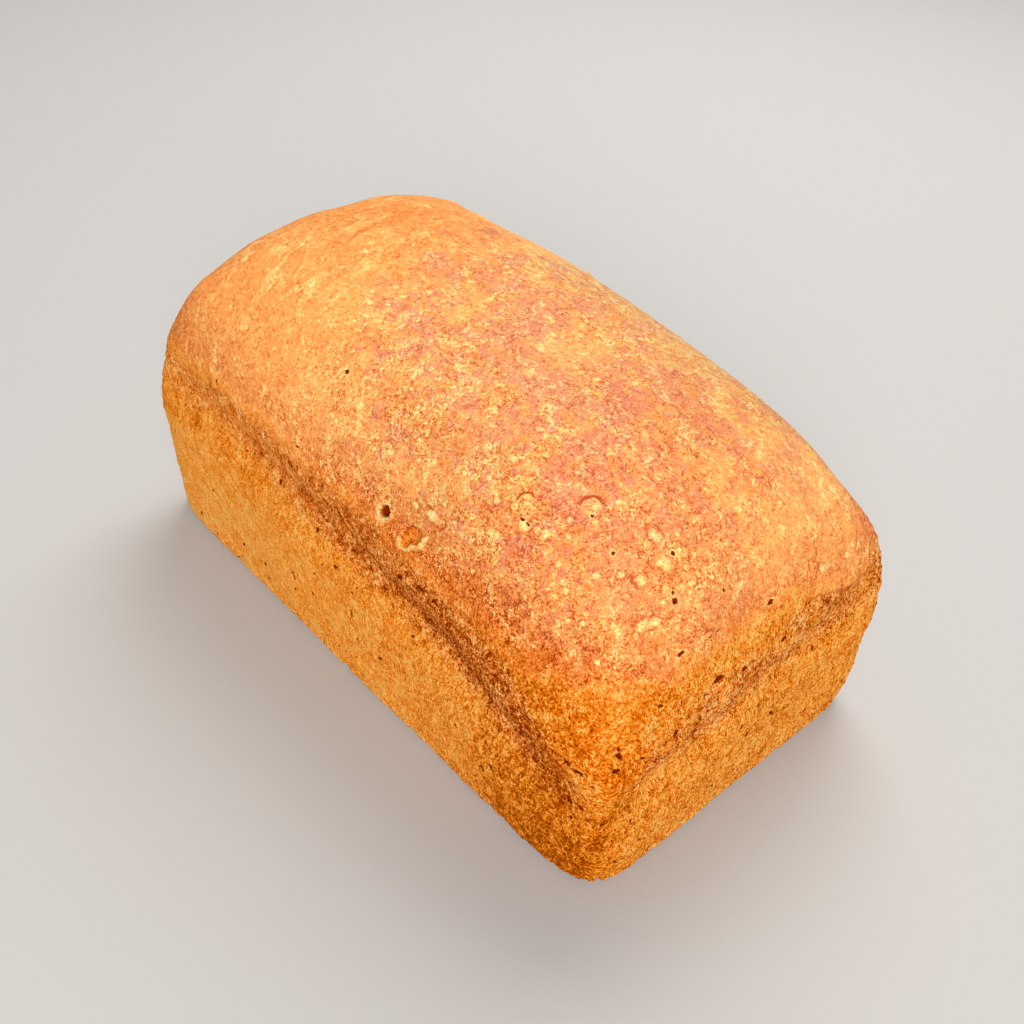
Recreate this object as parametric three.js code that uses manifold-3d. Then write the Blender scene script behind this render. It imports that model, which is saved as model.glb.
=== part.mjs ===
// A tin loaf. It is one solid piece of bread with its crust: straight walls that took the shape of
// the tin, sides that sank in a little below the shoulder as the loaf cooled, and a crown that rose
// freely above them. Small pores and blisters stand in the crust.
// Millimetres. +X runs along the loaf, +Y across it, +Z up. The origin is at the centre of the base.

import * as THREE from 'three';
import { mergeVertices } from 'three/addons/utils/BufferGeometryUtils.js';
import Module from 'manifold-3d';

// The loaf's main sizes.
const length = 186;
const width = 105;
const wallHeight = 43; // where the crown begins to lean in
const crownRise = 54; // from there up to the crest
const sideTaper = 2.4; // how much each long wall leans in towards the base
const endTaper = 1.8; // how much each end wall leans in towards the base
const baseEdge = 3; // radius of the edge round the base

// The outline from above and the crown are superellipses: a higher power is squarer.
const planPower = 13;
const alongPower = 3.9;
const acrossPower = 2.75;
const crestShift = 0.08; // the crest lies this share of the half width towards -Y
const cornerRounding = 36; // power that rounds the crown over at the corners: a lower one is softer
const cornerZone = [0.55, 0.85]; // where |u v| lies between these, that rounding sets in

// The crown leans: the height is lower towards +X and higher towards +Y.
const leanHeight = 70;
const endDroop = 5; // at leanHeight, at the +X end
const sideLift = 1.5; // at leanHeight, at the +Y side

// The sunken band of each wall. Its height changes along the wall, from heightAtStart at the -X or
// -Y end to heightAtEnd, and bend says how late the change comes.
const sunkenBands = {
  front: { depth: 4.6, heightAtStart: 49, heightAtEnd: 29, bend: 2.6, spread: 9 },
  back: { depth: 3.8, heightAtStart: 46, heightAtEnd: 40, bend: 1, spread: 9 },
  rightEnd: { depth: 3.4, heightAtStart: 30, heightAtEnd: 50, bend: 1, spread: 8 },
  leftEnd: { depth: 2.8, heightAtStart: 44, heightAtEnd: 48, bend: 1, spread: 9 },
};
const bandFade = 6; // power by which a band fades out towards the wall's ends
const bandReach = 8; // power by which a band fades out from its wall towards the middle of the loaf

// The corners are not alike. Each change swells or shrinks one upright corner round one height.
const cornerChanges = [
  { end: -1, side: -1, height: 26, spread: 26, swell: 0.9 },
  { end: -1, side: -1, height: 66, spread: 14, swell: -0.9 },
  { end: 1, side: 1, height: 8, spread: 18, swell: 0.8 },
  { end: 1, side: 1, height: 62, spread: 18, swell: 2.1 },
  { end: 1, side: -1, height: 0, spread: 12, swell: -1.4 },
];
const cornerReach = 4; // power of |u v| by which a change fades out from its corner

// Gentle unevenness of the whole crust: a few waves in seeded directions.
const lumpSeed = 2650;
const lumpWaves = [
  { count: 3, wavelength: 74, height: 0.3 },
  { count: 4, wavelength: 37, height: 0.2 },
  { count: 5, wavelength: 19, height: 0.1 },
];
const calmFoot = 12; // below this height the waves grow weaker
const footWaves = 0.35; // their share left at the base
const flatBelow = 0.01; // points this near the base lie in it

// How finely the crust is divided.
const cellsAlong = 44;
const cellsAcross = 28;
const wallRings = 22;
const wallBias = 1.15; // above 1 puts more of a profile's points near the base
const topShare = 0.5; // share of the way from the crest to the base that the top grid covers
const markDetail = 1; // of the balls that cut the pores and raise the blisters
const shortestEdge = 0.02; // finer edges, left where a ball crosses the crust, are closed up

// Pores that opened in the crust: a place near the crust, then length, width and depth. A long one
// lies along the grain direction given.
const levelGrain = [0, 1, 0];
const lengthwiseGrain = [1, 0, 0];
const pores = [
  { place: [16, -49, 63], size: [2.4, 2.4, 2.2] },
  { place: [28, -50, 61], size: [6.4, 4.6, 0.7], grain: lengthwiseGrain },
  { place: [81, -25, 72], size: [1.6, 1.5, 1.2] },
  { place: [82, -28, 70], size: [1.6, 1.5, 1.2] },
  { place: [84, -14, 70], size: [1.7, 1.4, 1.0] },
  { place: [88, -1, 62], size: [3.0, 1.4, 0.9], grain: levelGrain },
  { place: [87, -29, 62], size: [3.4, 1.5, 1.0], grain: levelGrain },
  { place: [48, -38, 82], size: [4.2, 1.3, 0.8], grain: lengthwiseGrain },
  { place: [52, -40, 79], size: [2.4, 1.5, 0.9], grain: lengthwiseGrain },
  { place: [92, -19, 53], size: [4.6, 1.3, 0.9], grain: levelGrain },
  { place: [92, -11, 52], size: [3.8, 1.3, 0.8], grain: levelGrain },
  { place: [80, -52, 28], size: [1.8, 1.5, 1.1] },
  { place: [82, -52, 42], size: [1.8, 1.5, 1.1] },
  { place: [33, -51, 49], size: [2.2, 1.4, 1.0], grain: lengthwiseGrain },
  { place: [42, -50, 33], size: [1.8, 1.5, 1.1] },
  { place: [-30, 47, 66], size: [2.2, 2.0, 1.6] },
  { place: [25, 51, 55], size: [4.0, 1.4, 0.9], grain: lengthwiseGrain },
  { place: [-70, 52, 40], size: [1.8, 1.5, 1.1] },
  { place: [60, 52, 30], size: [1.8, 1.5, 1.1] },
  { place: [-84, 20, 70], size: [1.9, 1.6, 1.2] },
  { place: [-92, -15, 52], size: [4.2, 1.3, 0.9], grain: levelGrain },
];

// Blisters: places where gas lifted the crust.
const blisters = [
  { place: [60, -30, 83], size: [5.2, 4.8, 0.55] },
  { place: [39, 16, 91], size: [5.6, 4.4, 0.5], grain: lengthwiseGrain },
  { place: [-38, 24, 93], size: [5.4, 4.8, 0.5], grain: lengthwiseGrain },
  { place: [-82, -22, 76], size: [5.0, 4.4, 0.5], grain: levelGrain },
];

const halfLength = length / 2;
const halfWidth = width / 2;

function seededRandom(seed) {
  let state = seed;
  return () => {
    state = (state * 16807) % 2147483647;
    return state / 2147483647;
  };
}

// The direction from the middle of the plan through a point of the unit square.
function planDirection(alpha, beta) {
  const a = Math.abs(alpha);
  const b = Math.abs(beta);
  const norm = (a ** planPower + b ** planPower) ** (1 / planPower);
  return norm > 0 ? [alpha / norm, beta / norm] : [1, 0];
}

// Height of the crown over a point of the plan, where u and v run from -1 to 1.
function crownHeight(u, v) {
  const shifted = v + crestShift * (1 - v * v);
  const along = Math.max(0, 1 - Math.abs(u) ** alongPower);
  const across = Math.max(0, 1 - Math.abs(shifted) ** acrossPower);
  const out = (Math.abs(u) ** planPower + Math.abs(v) ** planPower) ** (1 / planPower);
  const inCorner = THREE.MathUtils.smoothstep(Math.abs(u * v), ...cornerZone);
  const rounded = Math.sqrt(Math.max(0, 1 - out ** cornerRounding));
  return wallHeight + crownRise * Math.sqrt(along * across) * (1 + inCorner * (rounded - 1));
}

function bandDepth(band, along, height) {
  const t = (along + 1) / 2;
  const centre = band.heightAtStart + (band.heightAtEnd - band.heightAtStart) * t ** band.bend;
  const fade = Math.max(0, 1 - Math.abs(along) ** bandFade);
  return band.depth * fade * Math.exp(-(((height - centre) / band.spread) ** 2));
}

function cornerSwell(u, v, height) {
  const inCorner = Math.abs(u * v) ** cornerReach;
  const here = cornerChanges.filter(({ end, side }) => end * u > 0 && side * v > 0);
  const bell = (change) => change.swell * Math.exp(-(((height - change.height) / change.spread) ** 2));
  return inCorner * here.reduce((sum, change) => sum + bell(change), 0);
}

// A point of the smooth loaf: u and v say where in the plan, height how high.
function loafPoint(u, v, height) {
  const belowWallTop = Math.max(0, 1 - height / wallHeight);
  const intoEdge = Math.max(0, baseEdge - height);
  const edgeInset = baseEdge - Math.sqrt(baseEdge ** 2 - intoEdge ** 2);
  const swell = cornerSwell(u, v, height);
  let x = u * (halfLength - endTaper * belowWallTop - edgeInset + swell);
  let y = v * (halfWidth - sideTaper * belowWallTop - edgeInset + swell);
  const sideShare = Math.abs(v) ** bandReach;
  const endShare = Math.abs(u) ** bandReach;
  if (v < 0) y += sideShare * bandDepth(sunkenBands.front, u, height);
  else y -= sideShare * bandDepth(sunkenBands.back, u, height);
  if (u > 0) x -= endShare * bandDepth(sunkenBands.rightEnd, v, height);
  else x += endShare * bandDepth(sunkenBands.leftEnd, v, height);
  const raised = Math.min(1, height / wallHeight);
  const lean = (sideLift * v - endDroop * u) * (height / leanHeight) * raised;
  return new THREE.Vector3(x, y, height + lean);
}

// The way from the crest down to the base in one direction, as points at even steps.
function profile([u, v], crownSteps = 90, wallSteps = 40) {
  const points = [];
  for (let i = 0; i <= crownSteps; i += 1) {
    const out = Math.sin((i / crownSteps) * (Math.PI / 2));
    points.push(loafPoint(u * out, v * out, crownHeight(u * out, v * out)));
  }
  const wallTop = crownHeight(u, v);
  for (let i = 1; i <= wallSteps; i += 1) {
    points.push(loafPoint(u, v, wallTop * (1 - i / wallSteps) ** wallBias));
  }
  const run = [0];
  for (let i = 1; i < points.length; i += 1) {
    run.push(run[i - 1] + points[i].distanceTo(points[i - 1]));
  }
  return (share) => {
    const target = share * run[run.length - 1];
    let i = 1;
    while (i < run.length - 1 && run[i] < target) i += 1;
    const t = (target - run[i - 1]) / (run[i] - run[i - 1]);
    return points[i - 1].clone().lerp(points[i], t);
  };
}

// The points round the border of the unit square, anticlockwise from (-1, -1).
function borderOfSquare() {
  const border = [];
  for (let i = 0; i < cellsAlong; i += 1) border.push([i, 0]);
  for (let j = 0; j < cellsAcross; j += 1) border.push([cellsAlong, j]);
  for (let i = cellsAlong; i > 0; i -= 1) border.push([i, cellsAcross]);
  for (let j = cellsAcross; j > 0; j -= 1) border.push([0, j]);
  return border;
}

const squarePoint = (i, j) => [(2 * i) / cellsAlong - 1, (2 * j) / cellsAcross - 1];

// The crust as a closed mesh: a grid over the top, rings down the walls and a flat base.
function crustGeometry() {
  const points = [];
  const faces = [];
  const topIndex = (i, j) => i * (cellsAcross + 1) + j;
  for (let i = 0; i <= cellsAlong; i += 1) {
    for (let j = 0; j <= cellsAcross; j += 1) {
      const [alpha, beta] = squarePoint(i, j);
      const out = Math.max(Math.abs(alpha), Math.abs(beta));
      points.push(profile(planDirection(alpha, beta))(out * topShare));
    }
  }
  for (let i = 0; i < cellsAlong; i += 1) {
    for (let j = 0; j < cellsAcross; j += 1) {
      faces.push([topIndex(i, j), topIndex(i + 1, j), topIndex(i + 1, j + 1), topIndex(i, j + 1)]);
    }
  }
  const border = borderOfSquare();
  const profiles = border.map(([i, j]) => profile(planDirection(...squarePoint(i, j))));
  let above = border.map(([i, j]) => topIndex(i, j));
  for (let ring = 1; ring <= wallRings; ring += 1) {
    const share = topShare + ((1 - topShare) * ring) / wallRings;
    const below = profiles.map((at) => points.push(at(share)) - 1);
    below.forEach((corner, k) => {
      const next = (k + 1) % below.length;
      faces.push([corner, below[next], above[next], above[k]]);
    });
    above = below;
  }
  addLumps(points);
  const hub = points.push(new THREE.Vector3(0, 0, 0)) - 1;
  const triangles = above.map((corner, k) => [hub, above[(k + 1) % above.length], corner]);
  for (const [a, b, c, d] of faces) triangles.push([a, b, c], [a, c, d]);
  return indexedGeometry(points.flatMap((p) => [p.x, p.y, p.z]), triangles.flat());
}

// The waves move each point outwards from the middle line of the loaf, and leave the base flat.
function addLumps(points) {
  const random = seededRandom(lumpSeed);
  const waves = [];
  for (const { count, wavelength, height } of lumpWaves) {
    for (let i = 0; i < count; i += 1) {
      const direction = new THREE.Vector3(random() - 0.5, random() - 0.5, random() - 0.5);
      const phase = random() * 2 * Math.PI;
      waves.push({ k: direction.normalize().multiplyScalar((2 * Math.PI) / wavelength), phase, height });
    }
  }
  const innerHalf = halfLength - halfWidth;
  for (const point of points) {
    const spine = new THREE.Vector3(THREE.MathUtils.clamp(point.x, -innerHalf, innerHalf), 0, wallHeight);
    const outward = point.clone().sub(spine).normalize();
    const rise = waves.reduce((sum, wave) => sum + wave.height * Math.sin(wave.k.dot(point) + wave.phase), 0);
    const clearOfBase = THREE.MathUtils.smoothstep(point.z, 0, calmFoot);
    outward.z *= clearOfBase;
    point.addScaledVector(outward, rise * THREE.MathUtils.lerp(footWaves, 1, clearOfBase));
    if (point.z < flatBelow) point.z = 0;
  }
}

function indexedGeometry(positions, indices) {
  const geometry = new THREE.BufferGeometry();
  geometry.setAttribute('position', new THREE.Float32BufferAttribute(positions, 3));
  geometry.setIndex(indices);
  return geometry;
}

// The point of the crust nearest to a place, with the outward direction there.
function nearestOnCrust(geometry, place) {
  const corners = geometry.getAttribute('position');
  const index = geometry.getIndex();
  const triangle = new THREE.Triangle();
  const spot = new THREE.Vector3();
  const nearest = { point: new THREE.Vector3(), outward: new THREE.Vector3(), distance: Infinity };
  for (let i = 0; i < index.count; i += 3) {
    triangle.setFromAttributeAndIndices(corners, index.getX(i), index.getX(i + 1), index.getX(i + 2));
    triangle.closestPointToPoint(place, spot);
    const distance = spot.distanceTo(place);
    if (distance < nearest.distance) {
      nearest.distance = distance;
      nearest.point.copy(spot);
      triangle.getNormal(nearest.outward);
    }
  }
  return nearest;
}

// A flattened ball on the crust that cuts a pore or, joined on, raises a blister.
function mark(geometry, { place, size, grain = levelGrain }) {
  const { point, outward } = nearestOnCrust(geometry, new THREE.Vector3(...place));
  const across = new THREE.Vector3().crossVectors(outward, new THREE.Vector3(...grain)).normalize();
  const along = new THREE.Vector3().crossVectors(across, outward);
  const [markLength, markWidth, depth] = size;
  const ball = new THREE.IcosahedronGeometry(1, markDetail).scale(markLength / 2, markWidth / 2, depth);
  ball.applyMatrix4(new THREE.Matrix4().makeBasis(along, across, outward).setPosition(point));
  return ball;
}

function marked(geometry, Manifold, MeshOf) {
  const solid = (each) => {
    const bare = new THREE.BufferGeometry().setAttribute('position', each.getAttribute('position'));
    if (each.getIndex()) bare.setIndex(each.getIndex());
    const merged = mergeVertices(bare, 1e-4);
    return new Manifold(
      new MeshOf({
        numProp: 3,
        vertProperties: new Float32Array(merged.getAttribute('position').array),
        triVerts: new Uint32Array(merged.getIndex().array),
      }),
    );
  };
  const lifted = blisters.reduce((whole, each) => whole.add(solid(mark(geometry, each))), solid(geometry));
  const cut = pores.reduce((whole, each) => whole.subtract(solid(mark(geometry, each))), lifted);
  const { vertProperties, triVerts } = cut.simplify(shortestEdge).getMesh();
  return indexedGeometry(vertProperties, Array.from(triVerts));
}

// Centres the loaf over the origin and stands it on z = 0.
function centred(geometry) {
  geometry.computeBoundingBox();
  const { min, max } = geometry.boundingBox;
  return geometry.translate(-(min.x + max.x) / 2, -(min.y + max.y) / 2, -min.z);
}

const wasm = await Module();
wasm.setup();
const geometry = centred(marked(crustGeometry(), wasm.Manifold, wasm.Mesh));
geometry.computeVertexNormals();

const crust = new THREE.MeshStandardMaterial({ color: 0xd98a45, roughness: 0.62, metalness: 0 });
const loaf = new THREE.Mesh(geometry, crust);
loaf.name = 'loaf';

const group = new THREE.Group();
group.add(loaf);

export default group;
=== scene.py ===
import math

import bpy
import numpy as np
from mathutils import Matrix, Vector


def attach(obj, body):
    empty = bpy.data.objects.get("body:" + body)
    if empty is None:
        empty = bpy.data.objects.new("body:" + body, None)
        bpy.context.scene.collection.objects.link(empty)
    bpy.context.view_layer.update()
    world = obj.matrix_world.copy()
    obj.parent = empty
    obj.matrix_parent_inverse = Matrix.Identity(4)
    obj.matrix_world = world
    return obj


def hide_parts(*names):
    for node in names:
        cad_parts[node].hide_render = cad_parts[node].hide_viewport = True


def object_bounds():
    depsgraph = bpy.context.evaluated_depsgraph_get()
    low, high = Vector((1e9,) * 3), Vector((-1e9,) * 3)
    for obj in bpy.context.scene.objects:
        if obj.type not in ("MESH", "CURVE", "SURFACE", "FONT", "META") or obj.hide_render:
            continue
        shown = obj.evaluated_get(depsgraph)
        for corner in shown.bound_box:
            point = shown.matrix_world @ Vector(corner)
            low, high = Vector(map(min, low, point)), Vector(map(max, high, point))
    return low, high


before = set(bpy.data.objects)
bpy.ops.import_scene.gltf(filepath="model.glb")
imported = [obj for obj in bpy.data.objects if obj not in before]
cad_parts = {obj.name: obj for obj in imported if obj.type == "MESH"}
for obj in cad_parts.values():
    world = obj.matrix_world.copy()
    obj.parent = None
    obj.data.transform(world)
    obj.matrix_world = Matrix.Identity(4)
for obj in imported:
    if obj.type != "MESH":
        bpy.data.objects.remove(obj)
cad_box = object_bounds()


# --------------------------------------
# The loaf. One piece of close-textured bread, baked in a straight-walled tin: the tin pressed the
# walls and corners flat, the dough above the rim rose into a crown, and the walls sank in a little
# under the shoulder as the loaf cooled. Sizes in this section are in millimetres.

length = 186
width = 105
wall_height = 43
crown_rise = 54
side_taper = 2.4
end_taper = 1.8
base_edge = 3
plan_power = 13
along_power = 3.9
across_power = 2.75
crest_shift = 0.08
corner_rounding = 36
lean_height = 70
end_droop = 5
side_lift = 1.5

# A wall's sunken band: the height of its middle at the wall's two ends, and how its run bends.
front_band = (49, 29, 2.6)
back_band = (46, 40, 1)
right_band = (30, 50, 1)
left_band = (44, 48, 1)
front_depth = 4.6
back_depth = 3.8
right_depth = 3.4
left_depth = 2.8


def smooth_step(value, low, high):
    """Goes smoothly from 0 at low to 1 at high."""
    share = np.clip((value - low) / (high - low), 0, 1)
    return share * share * (3 - 2 * share)


def plan_norm(u, v):
    """1 on the outline of the plan, 0 in its middle."""
    return (np.abs(u) ** plan_power + np.abs(v) ** plan_power) ** (1 / plan_power)


def crown_height(u, v):
    """Height of the crown over a point of the plan, where u and v run from -1 to 1."""
    shifted = v + crest_shift * (1 - v * v)
    along = np.clip(1 - np.abs(u) ** along_power, 0, 1)
    across = np.clip(1 - np.abs(shifted) ** across_power, 0, 1)
    in_corner = smooth_step(np.abs(u * v), 0.55, 0.85)
    rounded = np.sqrt(np.clip(1 - plan_norm(u, v) ** corner_rounding, 0, 1))
    return wall_height + crown_rise * np.sqrt(along * across) * (1 + in_corner * (rounded - 1))


def band_centre(along, band):
    """Height of the middle of a wall's sunken band, for along from -1 to 1."""
    start, end, bend = band
    return start + (end - start) * np.clip((along + 1) / 2, 0, 1) ** bend


def band_profile(along, height, band, spread):
    """1 in the middle of a wall's sunken band, 0 away from it."""
    fade = np.clip(1 - np.abs(along) ** 6, 0, 1)
    return fade * np.exp(-(((height - band_centre(along, band)) / spread) ** 2))


def sunken_bands(u, v, height):
    """How far each wall sinks in, as the steps it makes along the loaf and across it."""
    front = band_profile(u, height, front_band, 9) * (v < 0)
    back = band_profile(u, height, back_band, 9) * (v >= 0)
    right_end = band_profile(v, height, right_band, 8) * (u > 0)
    left_end = band_profile(v, height, left_band, 9) * (u <= 0)
    side_share = np.abs(v) ** 8
    end_share = np.abs(u) ** 8
    across = side_share * (front_depth * front - back_depth * back)
    along = end_share * (left_depth * left_end - right_depth * right_end)
    return along, across


def corner_swell(u, v, height):
    """The corners are not alike: each line swells or shrinks one of them round one height."""
    swell = np.zeros_like(height)
    for end, side, middle, spread, amount in (
        (-1, -1, 26, 26, 0.9),
        (-1, -1, 66, 14, -0.9),
        (1, 1, 8, 18, 0.8),
        (1, 1, 62, 18, 2.1),
        (1, -1, 0, 12, -1.4),
    ):
        here = (end * u > 0) & (side * v > 0)
        swell += here * amount * np.exp(-(((height - middle) / spread) ** 2))
    return np.abs(u * v) ** 4 * swell


def loaf_points(u, v, height):
    """Points of the smooth loaf: u and v say where in the plan, height how high."""
    below_wall_top = np.clip(1 - height / wall_height, 0, None)
    into_edge = np.clip(base_edge - height, 0, None)
    edge_inset = base_edge - np.sqrt(base_edge**2 - into_edge**2)
    swell = corner_swell(u, v, height)
    sink_along, sink_across = sunken_bands(u, v, height)
    x = u * (length / 2 - end_taper * below_wall_top - edge_inset + swell) + sink_along
    y = v * (width / 2 - side_taper * below_wall_top - edge_inset + swell) + sink_across
    raised = np.clip(height / wall_height, 0, 1)
    lean = (side_lift * v - end_droop * u) * height / lean_height * raised
    return np.stack([x, y, height + lean], axis=-1)


def add_lumps(points):
    """Gentle unevenness: waves in seeded directions move the crust out from the middle line.

    Each line of swells gives a count of waves, their length and their height.
    """
    swells = ((3, 74, 0.3), (4, 37, 0.2), (5, 19, 0.1))
    draws_per_wave = 4
    modulus = 2147483647
    state = 2650
    draws = []
    for _ in range(draws_per_wave * sum(count for count, _, _ in swells)):
        state = state * 16807 % modulus
        draws.append(state / modulus)
    spine = np.zeros_like(points)
    spine[:, 0] = np.clip(points[:, 0], -(length - width) / 2, (length - width) / 2)
    spine[:, 2] = wall_height
    outward = points - spine
    outward /= np.linalg.norm(outward, axis=1)[:, None]
    rise = np.zeros(len(points))
    draw = iter(draws)
    for count, wavelength, height in swells:
        for _ in range(count):
            direction = np.array([next(draw) - 0.5, next(draw) - 0.5, next(draw) - 0.5])
            direction /= np.linalg.norm(direction)
            phase = next(draw) * 2 * math.pi
            rise += height * np.sin(points @ direction * (2 * math.pi / wavelength) + phase)
    clear_of_base = smooth_step(points[:, 2], 0, 12)
    outward[:, 2] *= clear_of_base
    return points + outward * (rise * (0.35 + 0.65 * clear_of_base))[:, None]


# The crust is laid out as a grid over the crown, rings down the walls, and rings across the base.
cells_along = 400
cells_across = 310
wall_rings = 84
base_rings = (0.985, 0.96, 0.9, 0.8, 0.65, 0.45, 0.25)

alpha, beta = np.meshgrid(
    np.linspace(-1, 1, cells_along + 1), np.linspace(-1, 1, cells_across + 1), indexing="ij"
)
out = np.maximum(np.abs(alpha), np.abs(beta))
norm = np.maximum(plan_norm(alpha, beta), 1e-9)
reach = np.sin(out * math.pi / 2)
top_u = (alpha / norm * reach).ravel()
top_v = (beta / norm * reach).ravel()
top_height = crown_height(top_u, top_v)

corner_index = np.arange((cells_along + 1) * (cells_across + 1)).reshape(cells_along + 1, -1)
border = np.concatenate(
    [corner_index[:-1, 0], corner_index[-1, :-1], corner_index[:0:-1, -1], corner_index[0, :0:-1]]
)
border_u = top_u[border]
border_v = top_v[border]
across_wall = np.arange(1, wall_rings + 1) / wall_rings
wall_u = np.tile(border_u, wall_rings)
wall_v = np.tile(border_v, wall_rings)
wall_level = np.repeat(wall_height * (1 - across_wall) ** 1.1, len(border))

# Every point keeps its plan place, its height in the smooth loaf and how far down the wall it is.
plan_u = np.concatenate([top_u, wall_u])
plan_v = np.concatenate([top_v, wall_v])
level = np.concatenate([top_height, wall_level])
points = add_lumps(loaf_points(plan_u, plan_v, level))
points[-len(border):, 2] = 0
edge = points[-len(border):]
for share in base_rings:
    points = np.concatenate([points, edge * [share, share, 1]])
points = np.concatenate([points, [[0, 0, 0]]])
bare = len(points) - len(plan_u)
plan_u = np.concatenate([plan_u, np.zeros(bare)])
plan_v = np.concatenate([plan_v, np.zeros(bare)])
level = np.concatenate([level, np.zeros(bare)])
all_rings = wall_rings + len(base_rings)
place_alpha = np.concatenate([alpha.ravel()] + [alpha.ravel()[border]] * all_rings + [[0]])
place_beta = np.concatenate([beta.ravel()] + [beta.ravel()[border]] * all_rings + [[0]])
place_down = np.concatenate(
    [
        np.zeros(len(top_u)),
        np.repeat(across_wall, len(border)),
        np.repeat(2 - np.array(base_rings), len(border)),
        [2],
    ]
)
middle = (points.max(axis=0) + points.min(axis=0)) / 2
points[:, :2] -= middle[:2]

quads = [
    np.stack(
        [corner_index[:-1, :-1], corner_index[1:, :-1], corner_index[1:, 1:], corner_index[:-1, 1:]],
        axis=-1,
    ).reshape(-1, 4)
]
above = border
for ring in range(all_rings):
    below = len(top_u) + ring * len(border) + np.arange(len(border))
    quads.append(np.stack([below, np.roll(below, -1), np.roll(above, -1), above], axis=-1))
    above = below
hub = len(points) - 1
fan = [(hub, int(b), int(a)) for a, b in zip(above, np.roll(above, -1))]
faces = np.concatenate(quads).tolist() + fan

millimetres = 1000.0  # in a metre
crust_mesh = bpy.data.meshes.new("loaf_crust")
crust_mesh.from_pydata((points / millimetres).tolist(), [], faces)
crust_mesh.update()


def store(mesh, name, values):
    """Keeps one value for each point of a mesh."""
    attribute = mesh.attributes.new(name, "FLOAT", "POINT")
    attribute.data.foreach_set("value", np.asarray(values, dtype=np.float32))


def below_shoulder(along, height, band, upper, lower_step):
    """1 in the dark zone between a wall's shoulder and the lower edge of its sunken band."""
    lower = band_centre(along, band) + lower_step
    fade = 1 - smooth_step(np.abs(along), 0.86, 0.99)
    return fade * smooth_step(height, lower - 6, lower + 5) * smooth_step(upper - height, -1, 4)


# The crown browned in the open oven above the shoulder. Just below it the wall came away from the
# tin and darkened, and painted shade is added there under the overhanging shoulder; the rest of the
# wall browned against the tin. At the near corner the dark zone dips under a golden knob.
right_dark_band = (33, 48, 1)
shoulder = 61 - 5 * smooth_step(-plan_u, 0.5, 1)
front_upper = shoulder + 2 - 22 * smooth_step(plan_u, 0.52, 1.06)
front_upper -= 3 * smooth_step(-plan_u, 0.3, 0.7)
side_share = np.abs(plan_v) ** 8
end_share = np.abs(plan_u) ** 8
front_strength = 0.62 + 0.38 * smooth_step(plan_u, -0.7, 0.2)
dark = front_strength * side_share * (plan_v < 0)
dark *= below_shoulder(plan_u, level, front_band, front_upper, -3)
dark += 0.85 * side_share * (plan_v > 0) * below_shoulder(plan_u, level, back_band, shoulder, -2)
on_right = 0.85 * smooth_step(plan_v, -0.88, -0.62) * end_share * (plan_u > 0)
dark += on_right * below_shoulder(plan_v, level, right_dark_band, 61, -3)
dark += 0.75 * end_share * (plan_u < 0) * below_shoulder(plan_v, level, left_band, 57, -2)
store(crust_mesh, "drop", shoulder - level)
store(crust_mesh, "dark", np.clip(dark, 0, 1))
store(crust_mesh, "place_alpha", place_alpha)
store(crust_mesh, "place_beta", place_beta)
store(crust_mesh, "place_down", place_down)

loaf = bpy.data.objects.new("loaf_crust", crust_mesh)
bpy.context.scene.collection.objects.link(loaf)

level_grain = (0, 1, 0)
lengthwise_grain = (1, 0, 0)
leaning_grain = (0.8, 0.2, 0.6)
far_side = (-0.7, 0.7, 0)


def mark_cloud(name, marks):
    """An object with one point for each mark: its place near the crust, its size and its grain.

    A size is the length along the grain, the width across it, and the depth or height.
    """
    mesh = bpy.data.meshes.new(name)
    mesh.from_pydata([Vector(place) / millimetres for place, size, grain in marks], [], [])
    store(mesh, "mark_radius", [size[1] / 2 for place, size, grain in marks])
    store(mesh, "mark_stretch", [size[0] / size[1] for place, size, grain in marks])
    store(mesh, "mark_depth", [size[2] for place, size, grain in marks])
    grains = mesh.attributes.new("mark_grain", "FLOAT_VECTOR", "POINT")
    grains.data.foreach_set("vector", [part for place, size, grain in marks for part in grain])
    cloud = bpy.data.objects.new(name, mesh)
    bpy.context.scene.collection.objects.link(cloud)
    return cloud


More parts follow.
